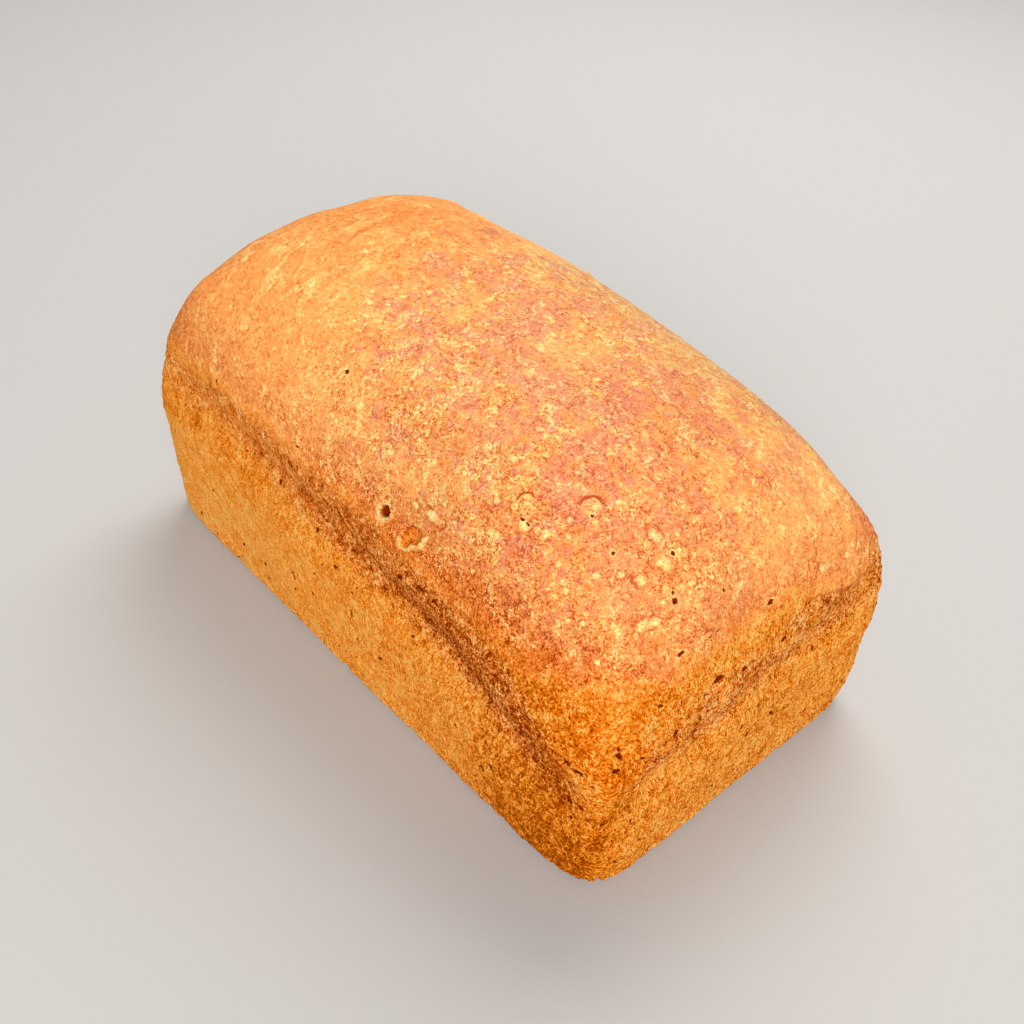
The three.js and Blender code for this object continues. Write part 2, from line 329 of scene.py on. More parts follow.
open_pores = mark_cloud(
    "open_pores",
    (
        ((16.1, -48.0, 64.1), (3.9, 2.9, 1.7), leaning_grain),
        ((-10.0, -39.1, 84.2), (1.5, 1.2, 0.9), lengthwise_grain),
        ((80.6, -24.4, 71.1), (1.6, 1.3, 1.4), level_grain),
        ((80.1, -24.4, 73.0), (0.9, 0.7, 0.7), level_grain),
        ((84.1, -12.3, 69.7), (0.9, 0.8, 0.7), level_grain),
        ((87.8, 0.3, 61.7), (2.4, 1.1, 0.9), level_grain),
        ((87.0, -27.2, 63.1), (1.9, 1.1, 1.0), level_grain),
        ((75.3, -20.3, 78.0), (1.2, 0.8, 0.6), lengthwise_grain),
        ((68.6, -30.7, 78.9), (1.0, 0.7, 0.6), level_grain),
        ((50.6, -38.8, 79.9), (1.3, 0.7, 0.7), lengthwise_grain),
        ((52.4, -38.9, 79.7), (1.7, 0.6, 0.6), far_side),
        ((61.0, -29.6, 83.2), (0.9, 0.7, 0.6), level_grain),
        ((91.8, -18.6, 53.6), (3.6, 1.5, 1.2), level_grain),
        ((92.0, -22.0, 51.0), (1.7, 1.2, 0.9), level_grain),
        ((92.0, -10.2, 51.5), (2.0, 1.1, 0.9), level_grain),
        ((89.8, -34.8, 55.2), (1.4, 0.9, 0.7), level_grain),
        ((81.3, -51.6, 42.6), (2.2, 1.5, 1.2), lengthwise_grain),
        ((84.0, -51.1, 41.6), (3.2, 1.4, 1.2), lengthwise_grain),
        ((87.6, -49.8, 39.4), (2.6, 1.0, 0.9), lengthwise_grain),
        ((81.4, -49.4, 28.6), (2.4, 2.2, 1.6), level_grain),
        ((85.1, -49.2, 29.0), (1.7, 1.3, 1.0), lengthwise_grain),
        ((89.7, -46.6, 26.1), (1.2, 1.0, 0.8), level_grain),
        ((90.1, -46.3, 44.0), (1.4, 1.0, 0.7), level_grain),
        ((33, -51, 49), (2.2, 1.4, 1.0), lengthwise_grain),
        ((-30, 47, 66), (2.2, 2.0, 1.6), level_grain),
        ((25, 51, 55), (4.0, 1.4, 0.9), lengthwise_grain),
        ((-70, 52, 40), (1.8, 1.5, 1.1), level_grain),
        ((60, 52, 30), (1.8, 1.5, 1.1), level_grain),
        ((-84, 20, 70), (1.9, 1.6, 1.2), level_grain),
        ((-92, -15, 52), (4.2, 1.3, 0.9), level_grain),
    ),
)
torn_patches = mark_cloud(
    "torn_patches",
    (
        ((26.6, -48.6, 64.1), (8.0, 4.0, 0.9), leaning_grain),
        ((-8, 46, 72), (5.0, 3.6, 0.7), lengthwise_grain),
    ),
)
blisters = mark_cloud(
    "blisters",
    (
        ((39, 16, 91), (5.6, 4.4, 0.5), lengthwise_grain),
        ((-38, 24, 93), (5.4, 4.8, 0.5), lengthwise_grain),
        ((-82, -22, 76), (5.0, 4.4, 0.5), level_grain),
        ((55.9, -34.1, 82.6), (2.4, 1.8, 0.25), level_grain),
        ((53.7, -31.7, 84.4), (3.0, 2.8, 0.25), level_grain),
    ),
)
ringed_blisters = mark_cloud(
    "ringed_blisters",
    (
        ((60.0, -28.9, 84.3), (4.8, 4.8, 0.5), far_side),
        ((48.9, -36.4, 82.2), (3.6, 3.6, 0.45), far_side),
        ((88.5, -33.5, 58.5), (2.6, 2.6, 0.3), far_side),
        ((-46, 12, 97), (4.6, 4.6, 0.4), lengthwise_grain),
    ),
)
pale_granules = mark_cloud(
    "pale_granules",
    (
        ((71.3, -21.5, 80.6), (4.2, 2.6, 0.3), lengthwise_grain),
        ((75.3, -29.1, 75.5), (3.4, 2.0, 0.2), far_side),
        ((80.4, -33.0, 69.4), (3.0, 2.2, 0.3), level_grain),
        ((81.2, -30.2, 69.7), (2.2, 1.9, 0.3), level_grain),
        ((83.2, -25.5, 69.2), (3.0, 1.4, 0.3), level_grain),
        ((75.4, -33.1, 73.5), (1.3, 1.2, 0.3), level_grain),
        ((72.2, -31.6, 76.4), (1.6, 1.4, 0.2), level_grain),
        ((56.6, -37.5, 79.4), (2.6, 1.8, 0.2), level_grain),
        ((58.4, -33.1, 81.9), (1.6, 1.5, 0.4), level_grain),
        ((80.2, -17.4, 74.2), (2.2, 1.3, 0.2), lengthwise_grain),
        ((81.7, -14.4, 72.8), (1.4, 1.0, 0.3), level_grain),
        ((80.8, -19.9, 73.4), (2.0, 1.2, 0.3), level_grain),
        ((75.8, -23.0, 76.8), (7.0, 2.6, 0.1), lengthwise_grain),
        ((87.3, -19.3, 64.2), (1.5, 1.2, 0.2), level_grain),
        ((47.6, -38.4, 81.0), (1.9, 1.6, 0.3), level_grain),
        ((51.4, -39.4, 79.3), (6.0, 2.0, 0.2), far_side),
        ((47.6, -43.6, 76.0), (5.0, 2.0, 0.2), lengthwise_grain),
        ((54.5, -38.3, 79.4), (1.5, 1.4, 0.4), level_grain),
        ((43.5, -39.5, 80.4), (1.6, 1.5, 0.3), level_grain),
        ((35.8, -4.6, 92.6), (2.4, 1.6, 0.2), level_grain),
        ((77.7, 11.7, 76.6), (2.0, 1.4, 0.2), level_grain),
        ((24.8, -45.6, 70.4), (5.0, 1.6, 0.2), far_side),
        ((31.0, -45.4, 71.0), (6.0, 2.2, 0.2), lengthwise_grain),
    ),
)


def node(kind, inputs=None, **settings):
    """A new node of the tree at hand, with its settings made and its inputs linked or set."""
    made = tree.nodes.new(kind)
    for name, value in settings.items():
        setattr(made, name, value)
    for socket, value in (inputs or {}).items():
        if isinstance(value, bpy.types.NodeSocket):
            tree.links.new(value, made.inputs[socket])
        else:
            made.inputs[socket].default_value = value
    return made


def math_node(operation, first, second=0.0):
    return node("ShaderNodeMath", {0: first, 1: second}, operation=operation).outputs[0]


def vector_math(operation, first, second=(0.0, 0.0, 0.0)):
    made = node("ShaderNodeVectorMath", {0: first, 1: second}, operation=operation)
    return made.outputs["Value" if operation in ("LENGTH", "DOT_PRODUCT") else "Vector"]


def scaled(vector, factor):
    made = node("ShaderNodeVectorMath", {0: vector, "Scale": factor}, operation="SCALE")
    return made.outputs["Vector"]


def ramp_between(value, low, high, to_low=0.0, to_high=1.0):
    """Goes smoothly from to_low at low to to_high at high."""
    made = node(
        "ShaderNodeMapRange",
        {"Value": value, "From Min": low, "From Max": high, "To Min": to_low, "To Max": to_high},
        interpolation_type="SMOOTHSTEP",
    )
    return made.outputs["Result"]


def noise(vector, size, detail=3.0, roughness=0.55, distortion=0.0):
    """Noise whose features are about size millimetres across, from 0 to 1."""
    made = node(
        "ShaderNodeTexNoise",
        {
            "Vector": vector,
            "Scale": 1 / size,
            "Detail": detail,
            "Roughness": roughness,
            "Distortion": distortion,
        },
    )
    return made.outputs[0]


# Geometry Nodes open the pores, tear the patches, lift the blisters and roughen the walls. Sizes
# are in millimetres.
relief = bpy.data.node_groups.new("crust_relief", "GeometryNodeTree")
relief.interface.new_socket("Crust", in_out="INPUT", socket_type="NodeSocketGeometry")
relief_inputs = {}
for name, kind, value in (
    ("Open pores", "NodeSocketObject", open_pores),
    ("Torn patches", "NodeSocketObject", torn_patches),
    ("Blisters", "NodeSocketObject", blisters),
    ("Ringed blisters", "NodeSocketObject", ringed_blisters),
    ("Pale granules", "NodeSocketObject", pale_granules),
    ("Pores per square metre of crown", "NodeSocketFloat", 80.0),
    ("Pores per square metre of wall", "NodeSocketFloat", 7000.0),
    ("Blisters per square metre", "NodeSocketFloat", 5500.0),
    ("Smallest pore", "NodeSocketFloat", 0.3),
    ("Largest pore", "NodeSocketFloat", 0.8),
    ("Crown roughness", "NodeSocketFloat", 0.3),
    ("Wall roughness", "NodeSocketFloat", 1.6),
    ("Ridge height", "NodeSocketFloat", 2.2),
    ("Crumbled edge", "NodeSocketFloat", 1.4),
    ("Seed", "NodeSocketInt", 11),
    ("Material", "NodeSocketMaterial", None),
):
    socket = relief.interface.new_socket(name, in_out="INPUT", socket_type=kind)
    relief_inputs[name] = (socket.identifier, value)
relief.interface.new_socket("Crust", in_out="OUTPUT", socket_type="NodeSocketGeometry")
tree = relief
given = node("NodeGroupInput").outputs


def total(*terms):
    value = terms[0]
    for term in terms[1:]:
        value = math_node("ADD", value, term)
    return value


def product(*factors):
    value = factors[0]
    for factor in factors[1:]:
        value = math_node("MULTIPLY", value, factor)
    return value


def centred(value, middle=0.5):
    return math_node("SUBTRACT", value, middle)


def read_attribute(name, data_type="FLOAT"):
    made = node("GeometryNodeInputNamedAttribute", {"Name": name}, data_type=data_type)
    return made.outputs["Attribute"]


def write_attribute(geometry, name, value, data_type="FLOAT"):
    made = node(
        "GeometryNodeStoreNamedAttribute",
        {"Geometry": geometry, "Name": name, "Value": value},
        data_type=data_type,
        domain="POINT",
    )
    return made.outputs[0]


def random_value(low, high, seed):
    made = node(
        "FunctionNodeRandomValue",
        {"Min": low, "Max": high, "Seed": seed},
        data_type="FLOAT",
    )
    return [socket for socket in made.outputs if socket.enabled][0]


here = node("GeometryNodeInputPosition").outputs[0]
where = scaled(here, millimetres)
normal = node("GeometryNodeInputNormal").outputs[0]
wallness = ramp_between(read_attribute("drop"), -4.0, 3.0)
crownness = math_node("SUBTRACT", 1.0, wallness)
darkness = read_attribute("dark")


def scattered(density, seed_step, smallest, largest, depth_share):
    """Seeded marks over the crust, as points that carry their radius, stretch, depth and grain."""
    seed = math_node("ADD", given["Seed"], seed_step)
    spread = node(
        "GeometryNodeDistributePointsOnFaces",
        {"Mesh": given["Crust"], "Density": density, "Seed": seed},
        distribute_method="RANDOM",
    )
    skewed = math_node("POWER", random_value(0.0, 1.0, seed_step + 1), 2.5)
    span = math_node("SUBTRACT", largest, smallest)
    radius = total(product(skewed, span), smallest)
    made = write_attribute(spread.outputs["Points"], "mark_radius", radius)
    made = write_attribute(made, "mark_stretch", random_value(1.0, 2.1, seed_step + 2))
    deep = product(radius, random_value(0.6, 1.0, seed_step + 3), depth_share)
    made = write_attribute(made, "mark_depth", deep)
    turn = node(
        "FunctionNodeRandomValue",
        {"Min": (-1.0, -1.0, -1.0), "Max": (1.0, 1.0, 1.0), "Seed": seed_step + 4},
        data_type="FLOAT_VECTOR",
    ).outputs[0]
    across = vector_math("CROSS_PRODUCT", turn, spread.outputs["Normal"])
    grain = vector_math("NORMALIZE", across)
    return write_attribute(made, "mark_grain", grain, "FLOAT_VECTOR")


def named_marks(input_name):
    """The marks of one object, each moved to the nearest point of the crust."""
    mesh = node("GeometryNodeObjectInfo", {"Object": given[input_name]}).outputs["Geometry"]
    cloud = node("GeometryNodeMeshToPoints", {"Mesh": mesh, "Radius": 0.001}).outputs[0]
    on_crust = node(
        "GeometryNodeProximity", {0: given["Crust"]}, target_element="FACES"
    ).outputs["Position"]
    return node("GeometryNodeSetPosition", {"Geometry": cloud, "Position": on_crust}).outputs[0]


def nearest_mark(cloud, ragged, ragged_size=1.1, towards=(0.0, 0.0, 1.0)):
    """For each point of the crust, from the nearest mark: how far away it is, the mark's depth, how
    far towards one direction it is, and the offset it stands at. All but the depth are in radii.
    """
    nearest = node(
        "GeometryNodeSampleNearest", {"Geometry": cloud, "Sample Position": here}, domain="POINT"
    ).outputs["Index"]

    def sampled(value, data_type="FLOAT"):
        made = node(
            "GeometryNodeSampleIndex",
            {"Geometry": cloud, "Value": value, "Index": nearest},
            data_type=data_type,
            domain="POINT",
        )
        return made.outputs[0]

    centre = sampled(here, "FLOAT_VECTOR")
    grain = sampled(read_attribute("mark_grain", "FLOAT_VECTOR"), "FLOAT_VECTOR")
    away = vector_math("SUBTRACT", where, scaled(centre, millimetres))
    along = vector_math("DOT_PRODUCT", away, grain)
    stretch = sampled(read_attribute("mark_stretch"))
    spared = math_node("SUBTRACT", 1.0, math_node("DIVIDE", 1.0, stretch))
    squeezed = vector_math("SUBTRACT", away, scaled(grain, product(along, spared)))
    distance = vector_math("LENGTH", squeezed)
    radius = sampled(read_attribute("mark_radius"))
    distance = math_node("DIVIDE", distance, radius)
    wobble = centred(noise(where, ragged_size, detail=2.0))
    side = math_node("DIVIDE", vector_math("DOT_PRODUCT", away, towards), radius)
    apart = total(distance, product(wobble, ragged))
    offset = scaled(vector_math("NORMALIZE", squeezed), apart)
    return apart, sampled(read_attribute("mark_depth")), side, offset


pore_density = node(
    "ShaderNodeMapRange",
    {
        "Value": wallness,
        "To Min": given["Pores per square metre of crown"],
        "To Max": given["Pores per square metre of wall"],
    },
).outputs[0]
small_pores = scattered(pore_density, 10, given["Smallest pore"], given["Largest pore"], 1.1)
blister_density = product(crownness, given["Blisters per square metre"])
bubbles = scattered(blister_density, 20, 0.7, 2.0, 0.22)
pore_distance, pore_depth, _, pore_offset = nearest_mark(named_marks("Open pores"), 0.5)
small_distance, small_depth, _, small_offset = nearest_mark(small_pores, 0.9)
any_pore = math_node("MINIMUM", pore_distance, small_distance)
small_nearer = math_node("LESS_THAN", small_distance, pore_distance)
any_offset = node(
    "ShaderNodeMix", {0: small_nearer, 4: pore_offset, 5: small_offset}, data_type="VECTOR"
).outputs[1]
pore = ramp_between(pore_distance, 1.1, 0.6)
small_pore = ramp_between(small_distance, 1.15, 0.7)
halo = product(ramp_between(any_pore, 2.1, 1.2), ramp_between(any_pore, 0.85, 1.1), crownness)
blister_distance, blister_height, _, _ = nearest_mark(named_marks("Blisters"), 0.8)
bubble_distance, bubble_height, _, _ = nearest_mark(bubbles, 0.8)
blister = ramp_between(blister_distance, 1.1, 0.25)
bubble = ramp_between(bubble_distance, 1.1, 0.25)
pale_distance, pale_height, _, pale_offset = nearest_mark(named_marks("Pale granules"), 1.6, 0.9)
granule = ramp_between(pale_distance, 1.0, 0.4)
torn_distance, torn_depth, torn_towards, torn_offset = nearest_mark(
    named_marks("Torn patches"), 1.7, 2.6, (-0.5, 0.1, 0.85)
)
torn = ramp_between(torn_distance, 1.05, 0.8)
torn_rim = product(
    ramp_between(torn_distance, 1.5, 1.15),
    ramp_between(torn_distance, 0.9, 1.1),
    ramp_between(torn_towards, 0.1, -0.5),
)
ring_distance, ring_height, ring_towards, ring_offset = nearest_mark(
    named_marks("Ringed blisters"), 0.7, 1.6, far_side
)
ring_dome = ramp_between(ring_distance, 0.95, 0.2)
ring_groove = product(
    ramp_between(ring_distance, 1.2, 1.05),
    ramp_between(ring_distance, 0.88, 1.0),
    ramp_between(ring_towards, 0.1, 0.6),
)

# Along a wall the ridges of its dark zone lie level, so their noise is drawn out sideways.
drawn_out = vector_math("MULTIPLY", where, (0.35, 0.35, 1.0))
crown_grain = centred(noise(where, 2.6, roughness=0.6))
wall_grain = centred(noise(where, 2.0, roughness=0.65, distortion=0.4))
ridges = centred(noise(drawn_out, 2.6, roughness=0.6, distortion=0.5), 0.55)
all_over = -0.15
rise = total(
    product(crown_grain, crownness, given["Crown roughness"]),
    product(wall_grain, wallness, given["Wall roughness"]),
    product(ridges, darkness, given["Ridge height"]),
    product(halo, 0.1),
    product(torn_rim, 0.25),
    product(blister, blister_height),
    product(bubble, bubble_height),
    product(granule, pale_height),
    product(ring_dome, ring_height),
    product(ring_groove, -0.45),
    product(pore, pore_depth, -1.0),
    product(small_pore, small_depth, -1.0),
    product(torn, torn_depth, -1.0),
    all_over,
)
height_above_base = node("ShaderNodeSeparateXYZ", {0: where}).outputs["Z"]
above_base = ramp_between(height_above_base, 0.2, 2.5)
near_edge = ramp_between(height_above_base, 6.0, 0.5)
crumbled = product(
    ramp_between(noise(where, 3.2, roughness=0.6), 0.48, 0.68),
    near_edge,
    given["Crumbled edge"],
    -1.0,
)
upright = product(rise, above_base)
sideways = total(upright, crumbled)
level_normal = vector_math("MULTIPLY", normal, (1.0, 1.0, 0.0))
upright_normal = vector_math("MULTIPLY", normal, (0.0, 0.0, 1.0))
offset = vector_math(
    "ADD",
    scaled(level_normal, product(sideways, 1 / millimetres)),
    scaled(upright_normal, product(upright, 1 / millimetres)),
)
furthest = 3.0
body = given["Crust"]
for name, value in (
    ("from_pore", any_pore),
    ("from_blister", math_node("MINIMUM", blister_distance, bubble_distance)),
    ("from_pale", pale_distance),
    ("from_torn", torn_distance),
    ("torn_side", torn_towards),
    ("from_ring", ring_distance),
    ("ring_side", ring_towards),
    ("ridge", product(ridges, darkness)),
):
    body = write_attribute(body, name, math_node("MINIMUM", value, furthest))
for name, value in (
    ("pore_offset", any_offset),
    ("pale_offset", pale_offset),
    ("torn_offset", torn_offset),
    ("ring_offset", ring_offset),
):
    body = write_attribute(body, name, value, "FLOAT_VECTOR")
body = node("GeometryNodeSetPosition", {"Geometry": body, "Offset": offset}).outputs[0]
body = node("GeometryNodeRealizeInstances", {"Geometry": body}).outputs[0]
body = node("GeometryNodeSetMaterial", {"Geometry": body, "Material": given["Material"]}).outputs[0]
node("NodeGroupOutput", {0: body})

# The crust's finish. The crown is salmon brown with coral and golden patches and more toasted
# towards the shoulder, with straw-coloured granules, worm-like flecks and a grain that sparkles with
# painted glints. The walls are orange gold and mottled, and granular brown where they came away
# from the tin, with painted shade there. Several lighter and darker zones are painted light and shade.
crust = bpy.data.materials.new("browned_crust")
crust.use_nodes = True
tree = crust.node_tree
tree.nodes.clear()
spot = scaled(node("ShaderNodeTexCoord").outputs["Object"], millimetres)


def read_mask(name):
    """A value that the crust carries for each of its points."""
    return node("ShaderNodeAttribute", attribute_name=name).outputs["Fac"]


def distance_from(name):
    """Radii from the nearest mark. The offset keeps outlines round inside a face of the mesh, and
    the plain distance keeps the crust clear halfway between two marks.
    """
    slack = 0.4
    offset = node("ShaderNodeAttribute", attribute_name=name + "_offset").outputs["Vector"]
    plain_distance = centred(read_mask("from_" + name), slack)
    return math_node("MAXIMUM", vector_math("LENGTH", offset), plain_distance)


def mix_colours(factor, first, second):
    """A colour mix; the factor is the Mix node's first socket and its colours are 6 and 7."""
    second = second if isinstance(second, bpy.types.NodeSocket) else (*second, 1.0)
    made = node("ShaderNodeMix", data_type="RGBA", inputs={0: factor, 6: first, 7: second})
    return made.outputs[2]


def moved(step):
    """The place on the crust, moved so that one noise doesn't follow another."""
    return vector_math("ADD", spot, (step, 2.3 * step, 1.7 * step))


def weighted(value, *terms):
    """A value with more terms added to it, each given with its weight."""
    for term, weight in terms:
        value = total(value, product(term, weight))
    return value


def grains(step, size, low, high, most=1.0, detail=3.0, roughness=0.6, distortion=0.0):
    """Ragged grains about size millimetres across: where the noise passes from low to high."""
    value = noise(moved(step), size, detail, roughness, distortion)
    return ramp_between(value, low, high, 0.0, most)


def raised(beyond, edge, rim):
    """1 where beyond is under the edge, and below 0 in a narrow ring outside it: painted shade
    beside a pale mark, and painted light round a dark one.
    """
    painted_ring = ramp_between(beyond, edge + 2 * rim, edge + rim, 0.0, -0.35)
    return total(ramp_between(beyond, edge, edge - rim, 0.0, 1.35), painted_ring)


def threads(vector, size, width, detail=1.5, distortion=0.6):
    """Thin curved lines: 1 where a noise crosses its middle value."""
    value = noise(vector, size, detail, 0.5, distortion)
    off = math_node("ABSOLUTE", centred(value))
    return raised(off, width, 0.5 * width)


def dots(step, spacing, radius, share):
    """Round dots of up to one radius: of the cells that lie spacing apart, one share holds one."""
    bent = node("ShaderNodeTexNoise", {"Vector": spot, "Scale": 0.9}).outputs["Color"]
    vector = vector_math("ADD", moved(step), scaled(bent, 1.2))
    cells = node("ShaderNodeTexVoronoi", {"Vector": vector, "Scale": 1 / spacing}, feature="F1")
    draw = node("ShaderNodeSeparateColor", {0: cells.outputs["Color"]})
    widest = radius / spacing
    reach = ramp_between(draw.outputs[1], 0.0, 1.0, 0.5 * widest, widest)
    beyond = math_node("SUBTRACT", cells.outputs["Distance"], reach)
    chosen = ramp_between(draw.outputs[0], 1 - share, 1.02 - share)
    return product(raised(beyond, 0.02, 0.07), chosen)


def layered(step, middle, *layers):
    """A tone round a middle value, swung by layers of noise given as (size, swing)."""
    value = middle
    for index, (size, swing) in enumerate(layers):
        place = moved(step + 13.0 * index)
        layer = noise(place, size, detail=2.5, roughness=0.65, distortion=0.3)
        value = weighted(value, (centred(layer), swing))
    return value


def tones(value, *colours):
    """A colour for each tone from 0, the lowest crevices, to 1, the highest grains."""
    made = node("ShaderNodeValToRGB", {0: value})
    elements = made.color_ramp.elements
    elements.remove(elements[1])
    for index, colour in enumerate(colours):
        element = elements[0] if index == 0 else elements.new(index / (len(colours) - 1))
        element.color = (*colour, 1.0)
    return made.outputs[0]


def inverse(value):
    """1 where a share is 0, and the other way round."""
    return math_node("SUBTRACT", 1.0, value)


straw = (0.88, 0.58, 0.17)
deep_rust = (0.21, 0.019, 0.0006)
# This bright orange serves only as painted light on the lower front wall.
painted_light_orange = (1.0, 0.31, 0.035)
rust = (0.50, 0.080, 0.008)

# Where things are, as shares from 0 to 1.
drop = read_mask("drop")
axes = node("ShaderNodeSeparateXYZ", {0: spot}).outputs


def along_axis(axis, start, end):
    """Goes from 0 to 1 between two places on one axis."""
    return ramp_between(axes[axis], start, end)


near_end = along_axis("X", 66.0, 88.0)
far_share = along_axis("X", 15.0, -50.0)
near_share = product(along_axis("X", 52.0, 88.0), along_axis("Y", 8.0, -12.0))
# Painted shading: the crown's front slope is a little darker, more golden and more grainy.
front_slope_painted_shading = product(along_axis("Y", -20.0, -40.0), along_axis("X", 70.0, 50.0))
# Painted light: the middle of the crown's length is lightened.
middle_painted_light = product(along_axis("X", -50.0, -15.0), along_axis("X", 58.0, 36.0))
corner = math_node("SUBTRACT", axes["X"], axes["Y"])
near_corner = ramp_between(corner, 104.0, 134.0)
ember_share = product(near_corner, along_axis("Z", 24.0, 44.0), along_axis("Z", 72.0, 56.0))
# The fine grain is the crown's bump and also a swing in its tone, so the bump's tops are painted
# lighter and its hollows darker: painted glints and painted shade over the crust's own speckle.
crown_fine = layered(71.0, 0.0, (0.45, 1.7), (1.1, 1.3))
from_pore = distance_from("pore")
from_ring = distance_from("ring")
from_torn = weighted(distance_from("torn"), (crown_fine, 0.15))
pore_share = ramp_between(from_pore, 1.1, 0.8)
blister_share = ramp_between(read_mask("from_blister"), 1.1, 0.5)
from_pale = weighted(distance_from("pale"), (crown_fine, 0.5))
named_pale = raised(from_pale, 1.1, 0.4)
ring_share = ramp_between(from_ring, 1.0, 0.7)
groove_share = product(
    ramp_between(from_ring, 1.25, 1.1),
    ramp_between(from_ring, 0.86, 1.0),
    ramp_between(read_mask("ring_side"), 0.1, 0.6),
)
torn_share = ramp_between(from_torn, 1.1, 1.0)
torn_side = read_mask("torn_side")
torn_shade = product(ramp_between(from_torn, 0.5, 0.95), ramp_between(torn_side, 0.0, 0.5))
rim_share = product(
    ramp_between(from_torn, 1.7, 1.3),
    ramp_between(from_torn, 1.0, 1.1),
    ramp_between(torn_side, 0.1, -0.5),
)

# The crown: its patches, its marks and its tone, from which its colours follow.
edge_wander = centred(noise(moved(37.0), 5.0, detail=4.0, roughness=0.6))
toasted_share = product(
    ramp_between(weighted(drop, (edge_wander, 12.0)), -17.0, -2.0),
    weighted(1.0, (along_axis("X", 40.0, -45.0), -0.65)),
    weighted(1.0, (along_axis("Y", -44.0, -32.0), -0.45)),
)
# Painted light: the back half of the crown near its near end, where the golden patches spread further.
far_right_painted_light = product(along_axis("X", 45.0, 80.0), along_axis("Y", -20.0, 10.0))
cluster = grains(29.0, 6.0, 0.4, 0.62)
granule = product(
    grains(11.0, 1.1, 0.53, 0.64, roughness=0.65, distortion=0.4),
    weighted(0.4, (cluster, 0.6)),
)
blob = product(
    grains(19.0, 2.0, 0.58, 0.66, detail=2.0, distortion=0.3),
    weighted(0.5, (cluster, 0.5)),
)
streak_at = vector_math("MULTIPLY", moved(3.0), (1.0, 0.42, 1.0))
streaks = product(
    threads(streak_at, 9.0, 0.05, distortion=0.8),
    far_share,
    grains(52.0, 12.0, 0.42, 0.6),
)
worms = product(
    threads(moved(17.0), 2.4, 0.06, detail=2.0, distortion=0.8),
    grains(23.0, 6.0, 0.48, 0.66),
)
wrinkle = product(
    threads(moved(67.0), 1.5, 0.05, detail=2.0, distortion=1.0),
    grains(73.0, 4.0, 0.4, 0.6),
)
pale = math_node("MAXIMUM", worms, dots(61.0, 3.2, 0.8, 0.36))
pale = math_node("MAXIMUM", pale, product(blob, 0.75))
halo_share = product(
    ramp_between(weighted(from_pore, (crown_fine, 0.9)), 2.2, 1.3),
    inverse(ramp_between(drop, -4.0, 1.0)),
)
# Painted light: the crown is lightened in a band along its far rim, where light falls from behind.
far_rim_painted_light = product(
    along_axis("Y", 0.0, 32.0),
    along_axis("Y", 46.0, 33.0),
    along_axis("X", -45.0, 0.0),
)
# Painted shade: the crown is darkened along the high crest of its far half and at its far end.
far_top_painted_shade = product(along_axis("X", 0.0, -30.0), along_axis("Z", 94.0, 99.0))
far_crest_painted_shade = total(far_top_painted_shade, along_axis("X", -58.0, -80.0))
crown_life = weighted(0.68, (cluster, 0.65), (far_share, -0.4), (front_slope_painted_shading, 0.2))
crown_tone = weighted(
    layered(97.0, 0.355, (2.6, 0.6), (7.0, 0.2)),
    (crown_fine, crown_life),
    (granule, 0.26),
    (pale, 0.45),
    (named_pale, 0.42),
    (far_share, -0.01),
    (middle_painted_light, 0.1),
    (far_rim_painted_light, 0.13),
    (far_crest_painted_shade, -0.15),
    (front_slope_painted_shading, -0.05),
    (streaks, 0.3),
    (wrinkle, -0.3),
    (blister_share, 0.12),
    (halo_share, 0.3),
    (ring_share, 0.26),
    (groove_share, -1.0),
    (rim_share, 0.5),
)
coral = tones(
    crown_tone,
    (0.47, 0.082, 0.022),
    (0.61, 0.150, 0.057),
    (0.68, 0.206, 0.092),
    (0.71, 0.252, 0.121),
    (0.72, 0.315, 0.139),
    (0.74, 0.425, 0.165),
    (0.76, 0.640, 0.250),
)
orange = tones(
    crown_tone,
    (0.48, 0.077, 0.008),
    (0.68, 0.175, 0.030),
    (0.75, 0.248, 0.057),
    (0.765, 0.315, 0.083),
    (0.765, 0.390, 0.110),
    (0.765, 0.510, 0.150),
    (0.79, 0.700, 0.240),
)
golden = tones(
    crown_tone,
    (0.70, 0.170, 0.028),
    (0.86, 0.280, 0.060),
    (0.90, 0.345, 0.086),
    (0.92, 0.400, 0.108),
    (0.92, 0.455, 0.130),
    (0.92, 0.550, 0.170),
    (0.92, 0.720, 0.280),
)
toasted = tones(
    crown_tone,
    (0.20, 0.025, 0.001),
    (0.42, 0.074, 0.004),
    (0.59, 0.125, 0.013),
    (0.73, 0.185, 0.032),
    (0.84, 0.270, 0.067),
    (0.88, 0.390, 0.120),
    (0.90, 0.600, 0.230),
)
coral_patches = weighted(
    layered(31.0, 0.5, (9.0, 1.0), (2.4, 1.3)), (front_slope_painted_shading, -0.12), (far_rim_painted_light, -0.08)
)
coral_share = product(
    ramp_between(coral_patches, 0.3, 0.64),
    weighted(1.2, (near_share, -0.75), (cluster, -0.25)),
)
crown = mix_colours(coral_share, orange, coral)
# The golden patches are partly painted light: they spread further over the far part of the crown and
# the back of its near end, where more light falls.
gold_patches = weighted(
    noise(moved(5.0), 12.0, detail=4.0, roughness=0.6),
    (far_share, 0.36),
    (front_slope_painted_shading, 0.07),
    (far_right_painted_light, 0.2),
)
crown = mix_colours(ramp_between(gold_patches, 0.52, 0.78), crown, golden)
crown = mix_colours(toasted_share, crown, toasted)

